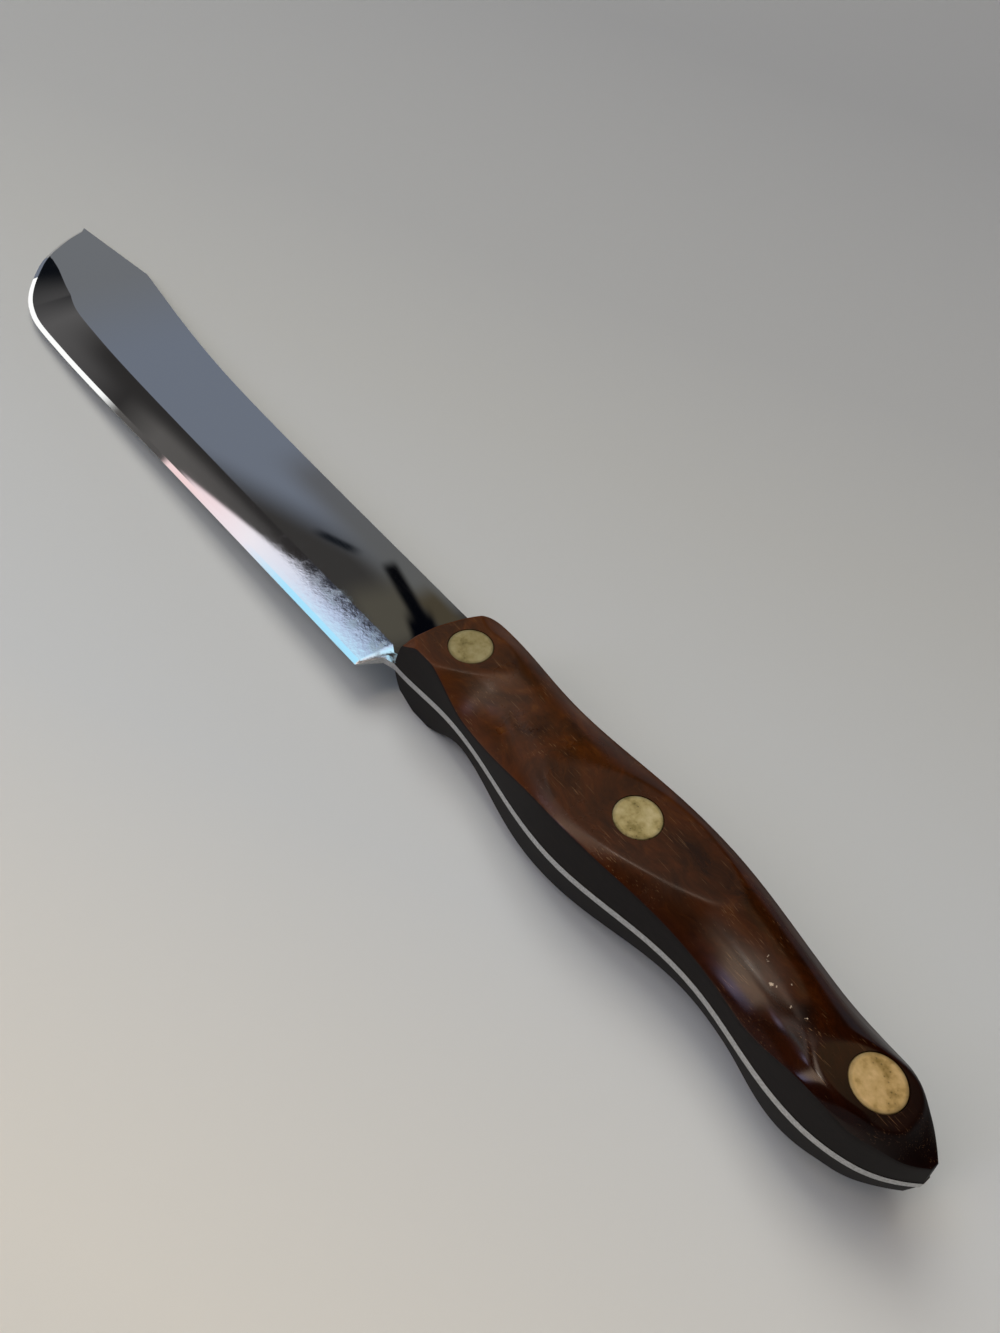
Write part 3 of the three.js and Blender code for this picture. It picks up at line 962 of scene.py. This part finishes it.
# Panels of the surroundings, each over those before it: centre and half size on the ceiling, turn
# in degrees, softness of its two pairs of sides, colour or colours along it, and strength
PANELS = (
    # Dim room before the wall beyond the tip, and the wall, greyer to its far side and below
    ((0.98, -0.52), (0.22, 0.1), 0.0, (0.1, 0.1), "#454341", 1.0),
    ((2.379, -4.318), (4.0, 30.0), -70.2, (0.009, 0.1), "#868e9c", 1.0),
    ((2.5, -0.6), (0.8, 0.25), 0.0, (0.2, 0.2), "#85888c", 1.0),
    ((0.97, -0.64), (0.2, 0.065), 0.0, (0.3, 0.4), ((0.0, "#73736f"), (1.0, "#73757a")), 1.0),
    # Dark room beyond the spine, behind the butt and low on the edge's side
    ((0.0, -1.6), (2.4, 0.82), 0.0, (0.2, 0.08), "#17120e", 1.0),
    ((-1.45, 0.0), (0.95, 2.4), 0.0, (0.2, 0.1), "#0d0b09", 1.0),
    ((0.2, 8.0), (1.2, 6.2), 0.0, (0.3, 0.05), "#302a26", 1.0),
    # Ceiling that the handle shows, with the sheen of its facets, lamps and a long glow
    (
        (0.35, -0.59),
        (0.37, 0.12),
        0.0,
        (0.12, 0.4),
        ((0.0, "#8a857f"), (0.5, "#98928c"), (0.7, "#6a655f"), (1.0, "#4c4843")),
        1.0,
    ),
    ((0.31, -0.48), (0.1, 0.09), 0.0, (0.5, 0.4), "#ffe8d8", 1.3),
    ((0.06, -0.6), (0.06, 0.1), 0.0, (0.6, 0.5), "#e8cc9c", 1.0),
    ((0.54, -0.08), (0.14, 0.3), 0.0, (0.5, 0.4), "#fff0e6", 1.7),
    ((0.55, 0.36), (0.06, 0.1), 0.0, (0.7, 0.7), "#dcd8ff", 6.0),
    (
        (0.42, 1.35),
        (1.1, 0.14),
        77.7,
        (0.1, 0.5),
        ((0.0, "#ffdcbc"), (0.35, "#ffe2cc"), (0.55, "#dcd6f8"), (1.0, "#c8ccff")),
        5.5,
    ),
    ((0.15, -0.02), (0.055, 0.4), 0.0, (0.4, 0.25), "#ffe6d0", 5.0),
    ((0.15, 0.02), (0.024, 0.06), 0.0, (0.5, 0.5), "#fff2e4", 20.0),
    # Doorway beside the wall, with its frame
    ((0.81, -0.535), (0.06, 0.04), -15.0, (0.6, 0.5), "#625e53", 1.0),
    ((0.775, -0.6), (0.05, 0.017), 0.0, (0.5, 0.5), "#585040", 1.0),
    ((0.745, -0.556), (0.05, 0.019), -20.0, (0.4, 0.3), "#05070e", 1.0),
    (
        (0.82, -0.5785),
        (0.08, 0.0105),
        -11.0,
        (0.15, 0.5),
        ((0.0, "#05070e"), (1.0, "#0c0d10")),
        1.0,
    ),
    ((0.978, -0.555), (0.034, 0.0065), 22.0, (0.5, 0.6), "#1c2026", 1.0),
    # Shade above the wall
    (
        (1.55, -0.15),
        (0.6, 0.29),
        0.0,
        (0.08, 0.04),
        (
            (0.0, "#555352"),
            (0.22, "#6d6a67"),
            (0.28, "#6f6c69"),
            (0.38, "#3c3a39"),
            (0.46, "#575554"),
            (0.62, "#6c6a69"),
            (0.72, "#4c4b4b"),
            (0.78, "#12151a"),
        ),
        1.0,
    ),
    ((1.1, -0.19), (0.5, 0.148), -3.0, (0.2, 0.05), "#3a3837", 1.0),
    # Window, cyan along its foot, and the shade that the heel shows
    (
        (0.89, -0.385),
        (0.31, 0.05),
        -6.8,
        (0.05, 0.07),
        (
            (0.2, "#abbfdb"),
            (0.36, "#c4d0ea"),
            (0.52, "#e2e4f0"),
            (0.68, "#f5eef2"),
            (0.84, "#f9e2e4"),
        ),
        1.6,
    ),
    ((0.72, -0.402), (0.2, 0.036), 0.0, (0.5, 0.4), ((0.0, "#ade9ff"), (1.0, "#d0f0ff")), 1.65),
    ((0.76, -0.305), (0.12, 0.026), -4.0, (0.3, 0.3), ((0.0, "#444650"), (1.0, "#3c3e46")), 1.0),
    # Lights high over the tip
    (
        (0.855, 0.06),
        (0.25, 0.05),
        -3.0,
        (0.04, 0.3),
        ((0.4, "#ade7ff"), (0.6, "#f2eaef"), (0.9, "#f8dad8")),
        1.65,
    ),
    ((2.39, -0.065), (1.12, 0.08), -4.9, (0.03, 0.3), "#fffffb", 1.7),
)

# Soft boxes: direction from the knife, distance and size in metres, and colour
LAMPS = {
    "key_softbox": ((0.48, -0.16, 0.86), 2.2, 1.2, "#fbf3ec"),
    "front_fill": ((0.3, 0.5, 0.81), 2.5, 2.2, "#b8dcff"),
}
TABLE_STEPS = 8


def studio_world(look):
    """Soft surroundings, drawn as on a ceiling one unit over the knife: a dim room and its panels.

    The camera sees a plain pale backdrop in their place.
    """
    world = bpy.data.worlds.new("studio_surroundings")
    world.use_nodes = True
    tree = world.node_tree
    tree.nodes.clear()
    toward = add(tree, "TexCoord", out="Generated")
    split = add(tree, "SeparateXYZ", {"Vector": toward}).node.outputs
    height = number(tree, "MAXIMUM", split["Z"], LEAST_HEIGHT)
    drawn = {axis: number(tree, "DIVIDE", split[axis], height) for axis in ("X", "Y")}
    ceiling = add(tree, "CombineXYZ", drawn)
    horizon = ranged(tree, split["Z"], HORIZON, **SMOOTH)
    radiance = mixed(tree, horizon, look.room_colour, look.horizon_colour)
    for centre, half, turn, softness, tones, strength in PANELS:
        panel = {
            "Vector": ceiling,
            "Location": (*centre, 0.0),
            "Rotation": (0.0, 0.0, math.radians(turn)),
            "Scale": (*half, 1.0),
        }
        local = add(tree, "Mapping", panel, vector_type="TEXTURE")
        spread = add(tree, "VectorMath", {0: local}, operation="ABSOLUTE")
        sides = add(tree, "SeparateXYZ", {"Vector": spread}).node.outputs
        masks = []
        for axis, soft in enumerate(softness):
            edge = {"From Min": 1 + soft, "From Max": 1 - soft}
            masks.append(ranged(tree, sides[axis], edge, **SMOOTH))
        mask = number(tree, "MULTIPLY", *masks)
        x = add(tree, "SeparateXYZ", {"Vector": local}, out="X")
        tone = toned(tree, ranged(tree, x, {"From Min": -1.0}), tones)
        lit = add(tree, "VectorMath", {0: tone, "Scale": strength}, operation="SCALE")
        radiance = mixed(tree, mask, radiance, lit)
    seen = add(tree, "LightPath", out="Is Camera Ray")
    colour = mixed(tree, seen, radiance, look.backdrop_colour)
    background = add(tree, "Background", {"Color": colour})
    add(tree, "OutputWorld", {"Surface": background})
    return world


def floor_height(x):
    """The table under the knife, which rests on the front of its lower flats and on its tip."""
    pivot = HANDLE_FRONT - HALF_THICKNESS**2 / (2 * FRONT_CROWN)
    slope = (HALF_THICKNESS - TIP_THICKNESS / 2) / (TIP_X - pivot)
    return slope * (x - pivot) - HALF_THICKNESS


def table(look):
    bm = bmesh.new()
    reach = look.floor_reach / MM
    bmesh.ops.create_grid(bm, x_segments=TABLE_STEPS, y_segments=TABLE_STEPS, size=reach)
    for vert in bm.verts:
        vert.co.z = floor_height(vert.co.x)
        vert.co = into_frame(vert.co)
    add_piece(bm, "table_top", [table_top(look)])


def lamp(name, power):
    """A square soft box that faces the knife; the surroundings stand for it in reflections."""
    toward, distance, size, code = LAMPS[name]
    light = bpy.data.lights.new(name, "AREA")
    light.size = size
    light.energy = power
    light.color = linear(code)[:3]
    holder = bpy.data.objects.new(name, light)
    direction = Vector(toward).normalized()
    holder.location = direction * distance
    holder.visible_glossy = False
    holder.rotation_euler = direction.to_track_quat("Z", "Y").to_euler()
    bpy.context.scene.collection.objects.link(holder)


def camera():
    data = bpy.data.cameras.new("camera")
    data.lens = CAMERA_LENS
    data.clip_start = CAMERA_NEAR
    holder = bpy.data.objects.new("camera", data)
    turn = Matrix((CAMERA_RIGHT, CAMERA_UP, CAMERA_RIGHT.cross(CAMERA_UP))).transposed()
    holder.matrix_world = Matrix.Translation(into_frame(CAMERA_PLACE)) @ turn.to_4x4()
    bpy.context.scene.collection.objects.link(holder)
    bpy.context.scene.camera = holder


# Settings


def colour_setting(name, description, code):
    return bpy.props.FloatVectorProperty(
        name=name, description=description, default=linear(code), size=4, subtype="COLOR"
    )


def length_setting(name, description, default, least):
    return bpy.props.FloatProperty(
        name=name, description=description, default=default, min=least, unit="LENGTH"
    )


def roughness_setting(name, description, default):
    return bpy.props.FloatProperty(
        name=name, description=description, default=default, min=0.0, max=1.0, subtype="FACTOR"
    )


def power_setting(name, description, default):
    return bpy.props.FloatProperty(
        name=name, description=description, default=default, min=0.0, unit="POWER"
    )


class KnifeHandle(bpy.types.PropertyGroup):
    edge_round: length_setting(
        "Edge round", "Radius between the sculpted side and the edge band", 0.4 * MM, 0.05 * MM
    )
    ridge_softness: length_setting(
        "Ridge softness", "Height over which a flat meets the sculpted side", 0.14 * MM, 0.01 * MM
    )
    deep_colour: colour_setting("Deep brown", "Darkest clouds of the resin", "#2a1607")
    body_colour: colour_setting("Body brown", "Most of the resin", "#3e240b")
    warm_colour: colour_setting("Warm brown", "Lighter clouds of the resin", "#4c2a0c")
    gold_colour: colour_setting("Golden brown", "Lightest streaks of the resin", "#5f3b12")
    # Painted shade: the edge band is the same resin, darkened for the shade it lies in
    shaded_band_colour: colour_setting("Edge band", "Dull edge of the scales beside the tang", "#191615")
    scuff_colour: colour_setting("Scuffs", "Pale scuffs on the resin", "#8a6a48")
    chip_colour: colour_setting("Chips", "Small chips in the resin", "#c8b8a0")
    polish: roughness_setting("Polish", "Roughness at the butt", 0.09)
    wear: roughness_setting("Wear", "Roughness at the front", 0.42)


class KnifeBlade(bpy.types.PropertyGroup):
    steel_colour: colour_setting("Steel", "Colour of the polished steel", "#c8c9cb")
    polish: roughness_setting("Polish", "Roughness of the mirror finish", 0.015)


class KnifeRivets(bpy.types.PropertyGroup):
    head_round: length_setting(
        "Head round", "Round on the rim of a rivet's head", 0.25 * MM, 0.05 * MM
    )
    metal_colour: colour_setting("Nickel silver", "Colour of the rivets", "#c2ba96")


class KnifeStage(bpy.types.PropertyGroup):
    floor_reach: length_setting("Table reach", "Half the width of the table top", 4.0, 0.5)
    floor_colour: colour_setting("Table", "Colour of the table top", "#ffffff")
    room_colour: colour_setting("Room", "Dim surroundings between the panels", "#302a26")
    horizon_colour: colour_setting("Horizon", "Pale walls low around the knife", "#808184")
    backdrop_colour: colour_setting(
        "Backdrop", "Pale surroundings as the camera sees them", "#b9bbbb"
    )
    key_power: power_setting("Key power", "Power of the soft box over the tip", 21.0)
    fill_power: power_setting(
        "Fill power", "Power of the large soft light on the edge's side", 13.5
    )


# Operators


class KNIFE_OT_blade(bpy.types.Operator):
    """Model the hollow-ground blade with its full tang"""

    bl_idname = "knife.blade"
    bl_label = "Blade and Tang"

    def execute(self, context):
        look = context.scene.knife_blade
        piece = steel_blade("hollow_ground_blade", [polished_steel(look), satin_steel()])
        place_piece(piece, "blade_steel", "blade_and_tang")
        return {"FINISHED"}


class KNIFE_OT_scales(bpy.types.Operator):
    """Model the two sculpted resin scales"""

    bl_idname = "knife.scales"
    bl_label = "Resin Scales"

    def execute(self, context):
        look = context.scene.knife_handle
        upper = resin_scale("upper_resin_scale", look, [marbled_resin(look), sanded_resin(look)])
        lower = mirrored(upper, "lower_resin_scale")
        place_piece(upper, "handle_resin", "upper_scale")
        place_piece(lower, "handle_resin", "lower_scale")
        return {"FINISHED"}


class KNIFE_OT_rivets(bpy.types.Operator):
    """Model the halves of the three rivets"""

    bl_idname = "knife.rivets"
    bl_label = "Rivets"

    def execute(self, context):
        look = context.scene.knife_rivets
        metal = nickel_silver(look)
        rim = look.head_round / MM
        head = HEAD_DIAMETER / 2
        profiles = rivet_profiles(rim)
        for name, axis in RIVETS.items():
            for half, profile in profiles.items():
                bm = spun(profile, axis)
                mark_rim(bm, axis, head - rim - RIM_DIRT, head)
                piece = add_piece(bm, f"{name}_rivet_{half}_half", [metal])
                place_piece(piece, "rivet_metal", f"{name}_rivet_{half}")
        return {"FINISHED"}


class KNIFE_OT_stage(bpy.types.Operator):
    """Set the table, the light and the camera"""

    bl_idname = "knife.stage"
    bl_label = "Stage"

    def execute(self, context):
        look = context.scene.knife_stage
        context.scene.world = studio_world(look)
        table(look)
        lamp("key_softbox", look.key_power)
        lamp("front_fill", look.fill_power)
        camera()
        context.scene.view_settings.view_transform = "Standard"
        return {"FINISHED"}


class KNIFE_PT_panel(bpy.types.Panel):
    """Lists the knife's pieces in the order they are made"""

    bl_idname = "KNIFE_PT_panel"
    bl_label = "Butcher Knife"
    bl_space_type = "VIEW_3D"
    bl_region_type = "UI"
    bl_category = "Knife"

    def draw(self, context):
        for operator, group in zip(OPERATORS, SETTINGS):
            column = self.layout.column()
            settings = getattr(context.scene, group)
            for name in settings.bl_rna.properties.keys():
                if name not in ("rna_type", "name"):
                    column.prop(settings, name)
            column.operator(operator.bl_idname)


OPERATORS = (KNIFE_OT_blade, KNIFE_OT_scales, KNIFE_OT_rivets, KNIFE_OT_stage)
SETTINGS = {
    "knife_blade": KnifeBlade,
    "knife_handle": KnifeHandle,
    "knife_rivets": KnifeRivets,
    "knife_stage": KnifeStage,
}
CLASSES = (*SETTINGS.values(), *OPERATORS, KNIFE_PT_panel)


def register():
    for kind in CLASSES:
        bpy.utils.register_class(kind)
    for name, kind in SETTINGS.items():
        setattr(bpy.types.Scene, name, bpy.props.PointerProperty(type=kind))


def unregister():
    for name in SETTINGS:
        delattr(bpy.types.Scene, name)
    for kind in reversed(CLASSES):
        bpy.utils.unregister_class(kind)


def main():
    register()
    bpy.ops.knife.blade()
    bpy.ops.knife.scales()
    bpy.ops.knife.rivets()
    bpy.ops.knife.stage()


if __name__ == "__main__":
    main()
